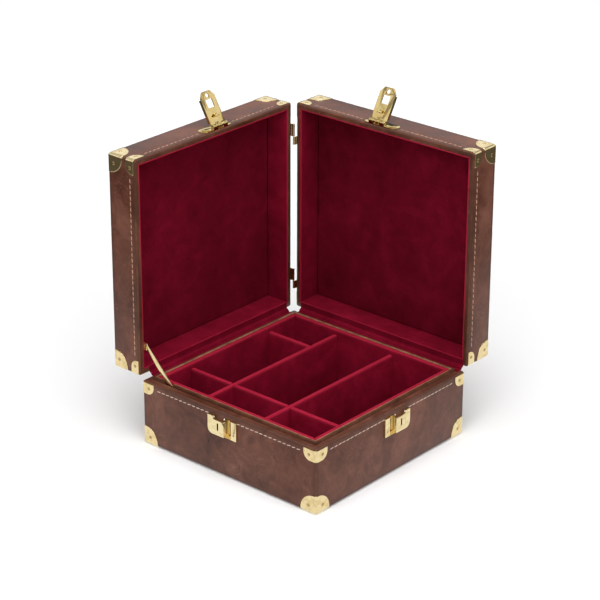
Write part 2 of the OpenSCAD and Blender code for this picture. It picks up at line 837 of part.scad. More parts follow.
tray_walls();
tray_bottom_board();
tray_leather();
underside_panel();
locating_lip();
tray_lining();
floor_pad();
divider_long_left();
divider_long_right();
divider_cross_left();
divider_cross_middle();
divider_cross_right();
divider_cross_back();
tray_rim_corners();
tray_foot_corners();
tray_rivets();
front_left_lock();
front_right_lock();
front_left_bolt();
front_right_bolt();
lock_nails();
left_tray_leaves();
right_tray_leaves();
left_hinge_pins();
right_hinge_pins();
left_lid_walls();
left_lid_board();
left_lid_leather();
left_lid_lining();
left_lid_pad();
left_lid_leaves();
left_lid_rim_corners();
left_lid_caps();
left_lid_rivets();
left_corner_leaves();
left_hasp_plate();
left_hasp_pin();
left_hasp();
stay_bracket();
stay_pin();
stay_arm();
corner_pin_lower();
corner_pin_upper();
right_lid_walls();
right_lid_board();
right_lid_leather();
right_lid_lining();
right_lid_pad();
right_lid_leaves();
right_lid_rim_corners();
right_lid_caps();
right_lid_rivets();
right_corner_leaves();
right_hasp_plate();
right_hasp_pin();
right_hasp();
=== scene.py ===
"""Leather jewellery case: the looks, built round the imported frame.

The tray and both lids are covered in mottled brown leather with a stitched rim, lined with
crimson velvet, and fitted with brass corners, locks, hasps, hinges and a stay.
"""
import json
import math
import random

import bpy
from mathutils import Matrix, Vector, noise
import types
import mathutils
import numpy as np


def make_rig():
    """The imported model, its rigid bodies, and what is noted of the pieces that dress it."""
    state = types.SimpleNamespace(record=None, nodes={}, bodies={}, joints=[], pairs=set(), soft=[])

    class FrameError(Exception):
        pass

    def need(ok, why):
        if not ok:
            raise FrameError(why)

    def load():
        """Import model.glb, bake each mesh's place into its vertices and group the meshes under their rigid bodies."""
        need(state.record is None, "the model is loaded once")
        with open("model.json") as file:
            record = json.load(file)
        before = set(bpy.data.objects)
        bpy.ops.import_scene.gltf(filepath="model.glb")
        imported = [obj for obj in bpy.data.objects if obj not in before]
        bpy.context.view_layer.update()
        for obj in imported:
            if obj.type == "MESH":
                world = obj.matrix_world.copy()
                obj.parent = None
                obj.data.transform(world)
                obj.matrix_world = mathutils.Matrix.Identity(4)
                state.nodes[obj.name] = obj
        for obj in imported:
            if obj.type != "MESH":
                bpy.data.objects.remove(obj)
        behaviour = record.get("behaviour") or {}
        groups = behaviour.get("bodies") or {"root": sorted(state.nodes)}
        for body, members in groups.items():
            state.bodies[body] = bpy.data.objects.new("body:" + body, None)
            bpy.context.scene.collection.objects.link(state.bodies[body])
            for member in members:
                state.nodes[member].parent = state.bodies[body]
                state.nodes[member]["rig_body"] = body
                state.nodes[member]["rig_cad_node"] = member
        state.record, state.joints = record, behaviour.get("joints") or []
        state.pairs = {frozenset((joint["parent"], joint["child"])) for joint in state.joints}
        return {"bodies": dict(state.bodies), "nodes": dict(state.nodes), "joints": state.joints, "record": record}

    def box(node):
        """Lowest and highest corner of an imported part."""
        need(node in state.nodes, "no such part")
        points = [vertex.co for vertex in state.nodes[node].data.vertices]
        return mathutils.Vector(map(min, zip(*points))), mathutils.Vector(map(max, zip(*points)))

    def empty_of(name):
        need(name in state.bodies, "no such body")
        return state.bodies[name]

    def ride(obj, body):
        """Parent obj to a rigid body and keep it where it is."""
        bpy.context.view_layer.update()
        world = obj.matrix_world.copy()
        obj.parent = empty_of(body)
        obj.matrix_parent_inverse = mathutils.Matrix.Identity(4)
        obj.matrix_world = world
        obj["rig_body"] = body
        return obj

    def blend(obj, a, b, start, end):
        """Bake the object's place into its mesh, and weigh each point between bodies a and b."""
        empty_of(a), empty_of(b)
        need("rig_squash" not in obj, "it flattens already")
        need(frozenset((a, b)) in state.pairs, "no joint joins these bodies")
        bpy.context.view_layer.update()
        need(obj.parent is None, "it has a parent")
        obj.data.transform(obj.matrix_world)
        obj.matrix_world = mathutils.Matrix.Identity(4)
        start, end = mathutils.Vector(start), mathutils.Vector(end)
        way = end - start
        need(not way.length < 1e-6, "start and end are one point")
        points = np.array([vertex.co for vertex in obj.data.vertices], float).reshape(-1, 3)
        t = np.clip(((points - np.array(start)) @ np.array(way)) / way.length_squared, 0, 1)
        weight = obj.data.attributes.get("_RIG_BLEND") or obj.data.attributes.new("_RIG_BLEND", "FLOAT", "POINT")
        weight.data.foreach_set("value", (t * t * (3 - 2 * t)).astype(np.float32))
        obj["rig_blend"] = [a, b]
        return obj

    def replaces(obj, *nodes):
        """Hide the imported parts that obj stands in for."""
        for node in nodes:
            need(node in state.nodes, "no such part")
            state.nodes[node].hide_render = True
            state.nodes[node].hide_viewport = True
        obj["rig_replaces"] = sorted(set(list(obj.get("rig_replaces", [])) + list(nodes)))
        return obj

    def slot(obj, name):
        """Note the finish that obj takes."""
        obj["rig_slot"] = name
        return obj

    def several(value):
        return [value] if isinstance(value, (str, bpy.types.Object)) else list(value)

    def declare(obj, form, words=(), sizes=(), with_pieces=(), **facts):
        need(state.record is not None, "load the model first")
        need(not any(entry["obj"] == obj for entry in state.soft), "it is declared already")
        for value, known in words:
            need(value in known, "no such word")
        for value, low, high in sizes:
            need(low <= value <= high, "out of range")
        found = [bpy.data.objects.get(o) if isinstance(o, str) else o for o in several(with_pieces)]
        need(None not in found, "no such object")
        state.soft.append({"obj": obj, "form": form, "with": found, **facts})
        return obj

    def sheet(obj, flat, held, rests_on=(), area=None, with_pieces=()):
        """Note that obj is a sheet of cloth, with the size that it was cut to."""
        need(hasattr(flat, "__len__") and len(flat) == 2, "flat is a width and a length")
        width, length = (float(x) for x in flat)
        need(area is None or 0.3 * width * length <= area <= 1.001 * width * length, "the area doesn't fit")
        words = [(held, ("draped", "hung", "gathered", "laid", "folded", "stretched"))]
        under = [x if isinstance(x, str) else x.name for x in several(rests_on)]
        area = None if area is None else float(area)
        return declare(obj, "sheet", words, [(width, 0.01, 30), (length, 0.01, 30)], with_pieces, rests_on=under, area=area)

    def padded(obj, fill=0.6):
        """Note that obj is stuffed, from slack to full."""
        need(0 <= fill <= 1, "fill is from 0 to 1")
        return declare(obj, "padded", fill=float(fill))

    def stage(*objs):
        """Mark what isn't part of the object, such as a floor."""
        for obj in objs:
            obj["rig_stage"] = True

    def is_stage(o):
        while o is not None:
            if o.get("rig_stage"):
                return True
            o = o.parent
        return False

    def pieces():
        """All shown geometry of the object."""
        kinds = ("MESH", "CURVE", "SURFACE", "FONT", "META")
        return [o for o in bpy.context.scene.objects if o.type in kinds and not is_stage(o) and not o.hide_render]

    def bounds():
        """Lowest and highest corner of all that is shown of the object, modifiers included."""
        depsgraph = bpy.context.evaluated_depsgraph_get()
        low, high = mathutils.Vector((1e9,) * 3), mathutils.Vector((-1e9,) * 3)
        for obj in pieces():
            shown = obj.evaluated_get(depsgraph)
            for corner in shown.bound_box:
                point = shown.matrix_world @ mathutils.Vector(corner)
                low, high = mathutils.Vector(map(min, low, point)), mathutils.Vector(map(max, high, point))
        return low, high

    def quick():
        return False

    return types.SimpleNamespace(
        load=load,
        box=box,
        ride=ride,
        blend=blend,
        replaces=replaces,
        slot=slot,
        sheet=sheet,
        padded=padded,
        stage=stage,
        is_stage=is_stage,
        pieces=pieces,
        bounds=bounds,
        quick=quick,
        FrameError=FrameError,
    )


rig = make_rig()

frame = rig.load()
CAD_LO, CAD_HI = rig.bounds()

MM = 0.001
SAME_POINT = 2e-6
NODES = frame["nodes"]
BODY_OF = {n: b for b, ns in frame["record"]["behaviour"]["bodies"].items() for n in ns}
SLOT_OF = {s["node"]: s["material_slot"] for s in frame["record"]["subparts"]}
random.seed(7)


# ------------------------------------------------------------------ small helpers

def deselect():
    """Lets go of everything, so that the next operator acts only on what it is given."""
    for o in bpy.context.selected_objects:
        o.select_set(False)


def only(o):
    """Selects one object alone and makes it active."""
    deselect()
    o.select_set(True)
    bpy.context.view_layer.objects.active = o


def apply_modifiers(o):
    only(o)
    for m in list(o.modifiers):
        bpy.ops.object.modifier_apply(modifier=m.name)


def frame_joint(name):
    """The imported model's joint of that name."""
    return next(j for j in frame["joints"] if j["name"] == name)


def smooth(o, angle=35):
    only(o)
    bpy.ops.object.shade_smooth_by_angle(angle=math.radians(angle))


def finish_piece(o, name, body, slot, material, replaced=()):
    """Names, dresses and places one piece, and says which CAD nodes it stands for."""
    o.name = name
    o.data.name = name
    o.data.materials.clear()
    o.data.materials.append(material)
    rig.ride(o, body)
    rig.slot(o, slot)
    if replaced:
        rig.replaces(o, *replaced)
    return o


def block(lo, hi):
    """A box between two corners, with its place in its mesh."""
    bpy.ops.object.select_all(action="DESELECT")
    bpy.ops.mesh.primitive_cube_add(size=1, location=(lo + hi) / 2)
    o = bpy.context.object
    o.dimensions = hi - lo
    bpy.ops.object.transform_apply(location=True, rotation=False, scale=True)
    return o


def thicken(o, wall, offset, even=False):
    """Gives a sheet its wall: offset -1 builds it inwards, and 0 to both sides."""
    s = o.modifiers.new("thickness", "SOLIDIFY")
    s.thickness = wall
    s.offset = offset
    s.use_even_offset = even


def round_edges(o, width, segments, angle):
    """Rounds the edges that are sharper than the angle."""
    b = o.modifiers.new("rounded", "BEVEL")
    b.width = width
    b.segments = segments
    b.limit_method = "ANGLE"
    b.angle_limit = math.radians(angle)


def from_faces(name, verts, faces):
    """A new object from points and faces, with the points that coincide merged."""
    mesh = bpy.data.meshes.new(name)
    mesh.from_pydata([tuple(v) for v in verts], [], faces)
    o = bpy.data.objects.new(name, mesh)
    bpy.context.scene.collection.objects.link(o)
    only(o)
    bpy.ops.object.mode_set(mode="EDIT")
    bpy.ops.mesh.select_all(action="SELECT")
    bpy.ops.mesh.remove_doubles(threshold=SAME_POINT)
    bpy.ops.object.mode_set(mode="OBJECT")
    return o


def join(objects):
    """Joins several objects into the first of them."""
    deselect()
    for o in objects:
        o.select_set(True)
    bpy.context.view_layer.objects.active = objects[0]
    if len(objects) > 1:
        bpy.ops.object.join()
    return objects[0]


# ------------------------------------------------------------------ materials

def new_material(name):
    """A bare material: itself, its tree, its shader and the Object coordinates."""
    m = bpy.data.materials.new(name)
    m.use_nodes = True
    t = m.node_tree
    t.nodes.clear()
    out = t.nodes.new("ShaderNodeOutputMaterial")
    shader = t.nodes.new("ShaderNodeBsdfPrincipled")
    t.links.new(shader.outputs[0], out.inputs[0])
    coord = t.nodes.new("ShaderNodeTexCoord").outputs["Object"]
    return m, t, shader, coord


def set_values(shader, values):
    """Sets constant values on the shader's own sockets."""
    for socket, value in values.items():
        shader.inputs[socket].default_value = value


def math_node(t, op, a, b=None):
    n = t.nodes.new("ShaderNodeMath")
    n.operation = op
    for i, v in enumerate((a, b)):
        if v is None:
            continue
        if isinstance(v, (int, float)):
            n.inputs[i].default_value = v
        else:
            t.links.new(v, n.inputs[i])
    return n.outputs[0]


def axes_of(t, coord):
    """The three coordinates of a point, each by itself."""
    split = t.nodes.new("ShaderNodeSeparateXYZ")
    t.links.new(coord, split.inputs[0])
    return split.outputs


def away_from(t, value, middle):
    """How far a coordinate is from a middle, on either side."""
    return math_node(t, "ABSOLUTE", math_node(t, "SUBTRACT", value, middle))


def inside_box(t, axes, lo, hi, i):
    """How far a point is inside a box's two faces across one axis."""
    mid, half = (lo[i] + hi[i]) / 2, (hi[i] - lo[i]) / 2
    return math_node(t, "SUBTRACT", half, away_from(t, axes[i], mid))


def noise_node(t, coord, scale, detail=4.0, rough=0.55, distort=0.0):
    n = t.nodes.new("ShaderNodeTexNoise")
    n.inputs["Scale"].default_value = scale
    n.inputs["Detail"].default_value = detail
    n.inputs["Roughness"].default_value = rough
    n.inputs["Distortion"].default_value = distort
    t.links.new(coord, n.inputs["Vector"])
    return n.outputs["Fac"]


def cells_node(t, coord, scale):
    """How far a point is from the middle of its cell."""
    n = t.nodes.new("ShaderNodeTexVoronoi")
    n.inputs["Scale"].default_value = scale
    t.links.new(coord, n.inputs["Vector"])
    return n.outputs["Distance"]


def ramp(t, fac, stops):
    """Colours by a value. A stop is (place, colour)."""
    n = t.nodes.new("ShaderNodeValToRGB")
    while len(n.color_ramp.elements) < len(stops):
        n.color_ramp.elements.new(0.5)
    for e, (p, c) in zip(n.color_ramp.elements, stops):
        e.position = p
        e.color = (*c, 1)
    t.links.new(fac, n.inputs[0])
    return n.outputs[0]


def fade(t, value, low, high, to_low=0.0, to_high=1.0):
    """A smooth change from to_low to to_high as the value goes from low to high."""
    n = t.nodes.new("ShaderNodeMapRange")
    n.interpolation_type = "SMOOTHSTEP"
    for i, v in ((1, low), (2, high), (3, to_low), (4, to_high)):
        n.inputs[i].default_value = v
    t.links.new(value, n.inputs[0])
    return n.outputs[0]


def mix(t, fac, a, b):
    """Colour a where the factor is 0, and b where it is 1."""
    n = t.nodes.new("ShaderNodeMix")
    n.data_type = "RGBA"
    for socket, v in ((n.inputs[0], fac), (n.inputs[6], a), (n.inputs[7], b)):
        if isinstance(v, (int, float)):
            socket.default_value = v
        elif isinstance(v, tuple):
            socket.default_value = (*v, 1)
        else:
            t.links.new(v, socket)
    return n.outputs[2]


def bump(t, shader, height, strength, distance, under=None):
    """Relief on the shader, over another relief if one is given."""
    n = t.nodes.new("ShaderNodeBump")
    n.inputs["Strength"].default_value = strength
    n.inputs["Distance"].default_value = distance
    t.links.new(height, n.inputs["Height"])
    if under is not None:
        t.links.new(under, n.inputs["Normal"])
    t.links.new(n.outputs[0], shader.inputs["Normal"])
    return n.outputs[0]


def edge_distance(t, coord, lo, hi):
    """How far a point on a box's surface is from the box's nearest edge."""
    axes = axes_of(t, coord)
    d = [inside_box(t, axes, lo, hi, i) for i in range(3)]
    least = math_node(t, "MINIMUM", math_node(t, "MINIMUM", d[0], d[1]), d[2])
    most = math_node(t, "MAXIMUM", math_node(t, "MAXIMUM", d[0], d[1]), d[2])
    total = math_node(t, "ADD", math_node(t, "ADD", d[0], d[1]), d[2])
    return math_node(t, "SUBTRACT", math_node(t, "SUBTRACT", total, least), most)


LEATHER_DARK = (0.058, 0.0155, 0.0080)
LEATHER_MID = (0.118, 0.037, 0.0205)
LEATHER_LIGHT = (0.185, 0.068, 0.042)
LEATHER_WORN = (0.24, 0.078, 0.030)
LEATHER_BURNISHED = (0.062, 0.022, 0.012)
LEATHER_CREASE = (0.26, 0.13, 0.10)
LEATHER_PORE = (0.04, 0.012, 0.008)


def leather(name, lo, hi):
    """Mottled brown hide, darker near its edges and rubbed through in patches on them."""
    m, t, shader, coord = new_material(name)
    blotch = noise_node(t, coord, 17, 5, 0.62, 0.6)
    cloud = noise_node(t, coord, 55, 6, 0.65, 1.2)
    both = math_node(t, "ADD", math_node(t, "MULTIPLY", blotch, 0.6),
                     math_node(t, "MULTIPLY", cloud, 0.4))
    base = ramp(t, both, [(0.37, LEATHER_DARK), (0.5, LEATHER_MID), (0.63, LEATHER_LIGHT)])
    # pale creases that wander through the hide
    vein = noise_node(t, coord, 26, 3, 0.5, 2.4)
    vein = fade(t, away_from(t, vein, 0.5), 0.0, 0.014, 1.0, 0.0)
    broken = fade(t, noise_node(t, coord, 34, 2), 0.48, 0.62)
    vein = math_node(t, "MULTIPLY", vein, broken)
    base = mix(t, math_node(t, "MULTIPLY", vein, 0.35), base, LEATHER_CREASE)
    pores = cells_node(t, coord, 1150)
    base = mix(t, fade(t, pores, 0.15, 0.6, 0.22, 0.0), base, LEATHER_PORE)
    near = edge_distance(t, coord, lo, hi)
    rub = math_node(t, "ADD", near, math_node(t, "MULTIPLY", cloud, 0.004))
    dark_edge = fade(t, rub, 0.0030, 0.0085, 0.62, 0.0)
    base = mix(t, dark_edge, base, LEATHER_BURNISHED)
    patchy = fade(t, noise_node(t, coord, 42, 3, 0.6, 0.5), 0.44, 0.66)
    worn = math_node(t, "MULTIPLY", fade(t, rub, 0.0016, 0.0040, 1.0, 0.0), patchy)
    base = mix(t, math_node(t, "MULTIPLY", worn, 0.7), base, LEATHER_WORN)
    t.links.new(base, shader.inputs["Base Color"])
    rough = fade(t, both, 0.3, 0.7, 0.27, 0.42)
    t.links.new(rough, shader.inputs["Roughness"])
    set_values(shader, {"Specular IOR Level": 0.30, "Coat Weight": 0.03, "Coat Roughness": 0.3})
    soft = bump(t, shader, cloud, 0.25, 0.0009)
    creased = bump(t, shader, vein, -0.3, 0.0003, soft)
    bump(t, shader, pores, 0.35, 0.00022, creased)
    return m


def lip_leather(name, lo, hi):
    """Dark leather with a painted highlight in tan along its cut inner top edge."""
    m, t, shader, coord = new_material(name)
    axes = axes_of(t, coord)
    grain = noise_node(t, coord, 90, 5, 0.6, 0.8)
    dark = ramp(t, grain, [(0.35, (0.060, 0.018, 0.008)), (0.65, (0.125, 0.041, 0.018))])
    # painted highlight: the tan stands for light catching the lip's inner top edge
    tan = ramp(t, grain, [(0.35, (0.20, 0.085, 0.045)), (0.65, (0.40, 0.19, 0.11))])
    inset = math_node(t, "MINIMUM", *(inside_box(t, axes, lo, hi, i) for i in range(2)))
    cut = math_node(t, "MULTIPLY", fade(t, inset, 0.0016, 0.0021),
                    fade(t, axes[2], hi.z - 0.0009, hi.z - 0.0003))
    t.links.new(mix(t, cut, dark, tan), shader.inputs["Base Color"])
    set_values(shader, {"Roughness": 0.5, "Specular IOR Level": 0.3})
    bump(t, shader, grain, 0.3, 0.0003)
    return m


PILE_TONES = ((0.086, 0.0011, 0.0072), (0.132, 0.0022, 0.0125), (0.192, 0.0045, 0.0205))
PILE_DEPTH = (0.03, 0.0002, 0.0015)
PILE_RIDGE_HIGHLIGHT = (0.42, 0.018, 0.045)
PILE_SHEEN = (0.95, 0.035, 0.10, 1)


def velvet(name, ridge=None, lit=1.0):
    """Crimson pile, its tones made lit times as bright: a different nap on the tray's velvet, painted light on the
    lids' upward-facing linings. A ridge is (axis, level, depth): a painted highlight runs along it.
    """
    m, t, shader, coord = new_material(name)
    brushed = noise_node(t, coord, 15, 5, 0.6, 0.9)
    streak = noise_node(t, coord, 60, 5, 0.7, 0.5)
    pile = noise_node(t, coord, 2600, 2, 0.5)
    lay = math_node(t, "ADD", math_node(t, "MULTIPLY", brushed, 0.5),
                    math_node(t, "MULTIPLY", streak, 0.5))
    base = ramp(t, lay, [(p, tuple(c * lit for c in tone))
                         for p, tone in zip((0.33, 0.5, 0.67), PILE_TONES)])
    base = mix(t, fade(t, pile, 0.35, 0.65, 0.25, 0.0), base, PILE_DEPTH)
    if ridge:
        axis, level, depth = ridge
        near = away_from(t, axes_of(t, coord)[axis], level)
        # painted highlight: the velvet is painted brighter along the ridge, where light catches its edge
        base = mix(t, fade(t, near, 0.0, depth, 0.62, 0.0), base, PILE_RIDGE_HIGHLIGHT)
    t.links.new(base, shader.inputs["Base Color"])
    set_values(shader, {"Roughness": 0.95, "Specular IOR Level": 0.06, "Sheen Weight": 0.42,
                        "Sheen Roughness": 0.32, "Sheen Tint": PILE_SHEEN})
    soft = bump(t, shader, lay, 0.3, 0.0012)
    bump(t, shader, pile, 0.45, 0.0003, soft)
    return m


TARNISH = (0.78, 0.70, 0.55)
CHANNEL_YELLOW = (0.62, 0.36, 0.05)
KEYHOLE_PAINTED_SHADE = (0.004, 0.003, 0.002)


def brass(name, colour, rough_low, rough_high, band=None, slot=None):
    """Polished metal. A band is (axis, low, high): the stretch with a deeper yellow.

    A slot is (axis across, its middle, axis inwards, the face, inward sign, its height): the
    walls of the keyhole, painted near-black for the shade that falls inside it.
    """
    m, t, shader, coord = new_material(name)
    tarnish = noise_node(t, coord, 120, 4, 0.6, 0.7)
    brushed = noise_node(t, coord, 900, 3, 0.5)
    darker = tuple(c * k for c, k in zip(colour, TARNISH))
    base = mix(t, fade(t, tarnish, 0.42, 0.68, 0.0, 0.6), colour, darker)
    if band:
        axis, low, high = band
        middle, half = (low + high) / 2, (high - low) / 2
        away = away_from(t, axes_of(t, coord)[axis], middle)
        base = mix(t, fade(t, away, half - 0.0004, half, 0.85, 0.0), base, CHANNEL_YELLOW)
    if slot:
        across, middle, inwards, face, sign, height = slot
        axes = axes_of(t, coord)
        aside = away_from(t, axes[across], middle)
        above = away_from(t, axes[2], height)
        deep = math_node(t, "MULTIPLY", math_node(t, "SUBTRACT", axes[inwards], face), sign)
        # painted shade: the keyhole's walls are painted near-black for the shade inside the narrow slot
        black = math_node(t, "MULTIPLY", fade(t, aside, 0.0011, 0.0013, 1.0, 0.0),
                          fade(t, above, 0.0040, 0.0042, 1.0, 0.0))
        black = math_node(t, "MULTIPLY", black, fade(t, deep, 0.0002, 0.0005))
        base = mix(t, black, base, KEYHOLE_PAINTED_SHADE)
    t.links.new(base, shader.inputs["Base Color"])
    set_values(shader, {"Metallic": 1.0})
    both = math_node(t, "MULTIPLY", math_node(t, "ADD", tarnish, brushed), 0.5)
    t.links.new(fade(t, both, 0.35, 0.65, rough_low, rough_high), shader.inputs["Roughness"])
    bump(t, shader, tarnish, 0.12, 0.0004)
    return m


def grained(name, dark, light, scale, rough, stretch=(1, 1, 1)):
    """A matt material of two tones, such as thread, board or cloth."""
    m, t, shader, coord = new_material(name)
    mapping = t.nodes.new("ShaderNodeMapping")
    mapping.inputs["Scale"].default_value = stretch
    t.links.new(coord, mapping.inputs[0])
    grain = noise_node(t, mapping.outputs[0], scale, 6, 0.6, 0.4)
    t.links.new(ramp(t, grain, [(0.35, dark), (0.65, light)]), shader.inputs["Base Color"])
    set_values(shader, {"Roughness": rough})
    bump(t, shader, grain, 0.3, 0.0003)
    return m


tray_lo, tray_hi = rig.box("tray_leather")
TRAY_LEATHER = leather("tray_brown_leather", tray_lo, tray_hi)
LID_LEATHER = {side: leather(side + "_lid_brown_leather", *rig.box(side + "_lid_leather"))
               for side in ("left", "right")}
LIP = lip_leather("dark_lip_leather", *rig.box("locating_lip"))
VELVET = velvet("crimson_velvet")
# painted light: the tray lining, dividers and lid linings carry a painted highlight along their rolled edges, tops and
# rims, and the lid linings' 1.4 times brighter tones are painted light on strips that face up
LINING_VELVET = velvet("crimson_velvet_rolled_tray_edge",
                       (2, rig.box("tray_lining")[1].z, 0.0030), 1.75)
DIVIDER_VELVET = velvet("crimson_velvet_divider_top",
                        (2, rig.box("divider_long_left")[1].z, 0.0040), 1.9)
LID_VELVET = {"left": velvet("crimson_velvet_left_rim",
                             (0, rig.box("left_lid_lining")[1].x, 0.0014), 1.4),
              "right": velvet("crimson_velvet_right_rim",
                              (1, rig.box("right_lid_lining")[0].y, 0.0014), 1.4)}
GUSSET_VELVET = velvet("crimson_velvet_over_the_hinges", None, 1.3)
BRASS = brass("polished_brass", (0.92, 0.76, 0.43), 0.09, 0.22)
RIVET_BRASS = brass("worn_brass", (0.60, 0.43, 0.20), 0.22, 0.4)
HASP_BRASS = brass("darker_polished_brass", (0.74, 0.57, 0.25), 0.06, 0.16)
LOCK_YELLOW = (0.95, 0.81, 0.48)
CHANNEL_NEAR, CHANNEL_FAR = 0.0032, 0.0110
KEY_ASIDE = 0.0048
KEY_BELOW = 0.0005


def lock_brass(side, along, inwards, sign):
    """One lock's brass. Its channel lies to the sign's side of its middle, its keyhole opposite."""
    lo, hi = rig.box("front_" + side + "_lock")
    middle = (lo + hi) / 2
    channel = sorted(middle[along] + sign * reach for reach in (CHANNEL_NEAR, CHANNEL_FAR))
    face = lo[inwards] if sign > 0 else hi[inwards]
    return brass(side + "_lock_brass", LOCK_YELLOW, 0.10, 0.22, (along, *channel),
                 (along, middle[along] - sign * KEY_ASIDE, inwards, face, sign,
                  middle.z - KEY_BELOW))


LEFT_LOCK_BRASS = lock_brass("left", 0, 1, 1)
RIGHT_LOCK_BRASS = lock_brass("right", 1, 0, -1)
STEEL = brass("nickelled_steel", (0.80, 0.79, 0.76), 0.16, 0.3)
PALE_THREAD = grained("pale_waxed_thread", (0.46, 0.33, 0.27), (0.68, 0.54, 0.45), 1500, 0.7)
TAN_THREAD = grained("tan_waxed_thread", (0.40, 0.21, 0.12), (0.58, 0.36, 0.24), 1500, 0.7)
BOARD = grained("birch_board", (0.36, 0.22, 0.11), (0.55, 0.38, 0.22), 60, 0.65, (1, 6, 6))
FELT = grained("brown_base_cloth", (0.045, 0.024, 0.018), (0.085, 0.048, 0.036), 700, 0.95)


def dress(node, material):
    """A CAD node that stays as it is gets its material."""
    o = NODES[node]
    o.data.materials.clear()
    o.data.materials.append(material)


def softened(node, material, width, segments=2, angle=32):
    """A copy of a CAD node with its edges rounded over, which stands for that node."""
    name = node + "_finished"
    o = bpy.data.objects.new(name, NODES[node].data.copy())
    bpy.context.scene.collection.objects.link(o)
    only(o)
    bpy.ops.object.mode_set(mode="EDIT")
    bpy.ops.mesh.select_all(action="SELECT")
    bpy.ops.mesh.customdata_custom_splitnormals_clear()
    bpy.ops.mesh.remove_doubles(threshold=1e-6)
    bpy.ops.mesh.dissolve_limited(angle_limit=math.radians(1))
    bpy.ops.object.mode_set(mode="OBJECT")
    round_edges(o, width, segments, angle)
    apply_modifiers(o)
    smooth(o)
    finish_piece(o, name, BODY_OF[node], SLOT_OF[node], material, (node,))


# ------------------------------------------------------------------ leather skins

SHOULDER = 6.8 * MM
TURN_IN = 15 * MM
SKIN = 0.95 * MM
EDGE = 2.2 * MM
EDGE_SEGMENTS = 5


def leather_shell(lo, hi, *openings):
    """A leather skin with rounded edges. An opening is (axis, sign, width of its flange)."""
    o = block(lo, hi)
    bpy.ops.object.mode_set(mode="EDIT")
    bpy.ops.mesh.select_all(action="SELECT")
    bpy.ops.mesh.bevel(offset=EDGE, segments=EDGE_SEGMENTS, profile=0.5, affect="EDGES")
    for axis, sign, inset in openings:
        bpy.ops.mesh.select_all(action="DESELECT")
        bpy.ops.object.mode_set(mode="OBJECT")
        for f in o.data.polygons:
            f.select = f.normal[axis] * sign > 0.999
        bpy.ops.object.mode_set(mode="EDIT")
        bpy.ops.mesh.select_mode(type="FACE")
        bpy.ops.mesh.inset(thickness=inset - EDGE)
        bpy.ops.mesh.delete(type="FACE")
    bpy.ops.object.mode_set(mode="OBJECT")
    thicken(o, SKIN, -1)
    apply_modifiers(o)
    smooth(o, 40)
    return o


finish_piece(leather_shell(tray_lo, tray_hi, (2, 1, SHOULDER), (2, -1, TURN_IN)),
             "tray_leather_skin", "tray", "leather", TRAY_LEATHER, ("tray_leather",))

LID_OPEN = {"left": (0, 1), "right": (1, -1)}
for side, (axis, sign) in LID_OPEN.items():
    lo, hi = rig.box(side + "_lid_leather")
    inner_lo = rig.box(side + "_lid_lining")[0]
    across = 1 - axis
    rim = inner_lo[across] - lo[across]
    finish_piece(leather_shell(lo, hi, (axis, sign, rim)),
                 side + "_lid_leather_skin", side + "_lid", "leather", LID_LEATHER[side],
                 (side + "_lid_leather",))


# ------------------------------------------------------------------ stitching

STITCH = 4.8 * MM
PITCH = 5.7 * MM
THREAD_WIDE, THREAD_HIGH, THREAD_LIFT = 1.1, 0.75, 0.08     # millimetres
LEAN, LEAN_SPREAD = 0.10, 0.04
PLACE_SPREAD = 0.15                                         # millimetres
SEAM_END = 17 * MM
SEAM = 6.2 * MM
LEAF_RUN = 30.8 * MM
LEAF_SPARE = 0.5 * MM
NODE_SPARE = 0.6 * MM


def thread_shape():
    """One stitch, lying along X and standing out along Z."""
    bpy.ops.object.select_all(action="DESELECT")
    bpy.ops.mesh.primitive_uv_sphere_add(segments=6, ring_count=5, radius=0.5,
                                         rotation=(0, math.pi / 2, 0))
    o = bpy.context.object
    bpy.ops.object.transform_apply(location=False, rotation=True, scale=False)
    verts = [v.co.copy() for v in o.data.vertices]
    faces = [tuple(f.vertices) for f in o.data.polygons]
    bpy.data.objects.remove(o)
    return verts, faces


THREAD_VERTS, THREAD_FACES = thread_shape()


def stitch_row(store, start, end, out, gaps=()):
    """Stitches from start to end on the surface that faces out, leaving out the gaps."""
    along = end - start
    length = along.length
    along = along / length
    side = out.cross(along)
    count = int(length / PITCH)
    spare = (length - count * PITCH) / 2
    for i in range(count):
        at = spare + (i + 0.5) * PITCH
        if any(a < at < b for a, b in gaps):
            continue
        tilt = LEAN + random.uniform(-LEAN_SPREAD, LEAN_SPREAD)
        run = (along + side * tilt).normalized()
        wide = out.cross(run)
        base = len(store[0])
        shift = random.uniform(-PLACE_SPREAD, PLACE_SPREAD) * MM
        centre = start + along * (at + shift) + out * THREAD_LIFT * MM
        long = STITCH * random.uniform(0.93, 1.05)
        for v in THREAD_VERTS:
            store[0].append(centre + run * v.x * long + wide * v.y * THREAD_WIDE * MM
                            + out * v.z * THREAD_HIGH * MM)
        store[1].extend(tuple(base + k for k in f) for f in THREAD_FACES)


def stitched_ring(name, lo, hi, axis, level, body, material, gaps):
    """A line of stitches round the four faces that lie round an axis."""
    store = ([], [])
    u, v = [i for i in range(3) if i != axis]
    for fixed, running in ((u, v), (v, u)):
        for sign in (-1, 1):
            a, b, out = Vector(), Vector(), Vector()
            for p in (a, b):
                p[axis] = level
                p[fixed] = hi[fixed] if sign > 0 else lo[fixed]
            a[running], b[running] = lo[running] + SEAM_END, hi[running] - SEAM_END
            out[fixed] = sign
            spans = [(p - a[running], q - a[running]) for f, s, p, q in gaps
                     if f == fixed and s == sign]
            stitch_row(store, a, b, out, spans)
    o = from_faces(name, *store)
    smooth(o, 80)
    finish_piece(o, name, body, "leather", material)


def span_gap(node, fixed, sign, running):
    """The stretch that one node covers, and a little more."""
    lo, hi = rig.box(node)
    return (fixed, sign, lo[running] - NODE_SPARE, hi[running] + NODE_SPARE)


def leaf_gaps(node, fixed, sign, running):
    """The stretches that two equal hinges cover, from the box round both of them."""
    lo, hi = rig.box(node)
    return [(fixed, sign, lo[running] - LEAF_SPARE, lo[running] + LEAF_RUN),
            (fixed, sign, hi[running] - LEAF_RUN, hi[running] + LEAF_SPARE)]


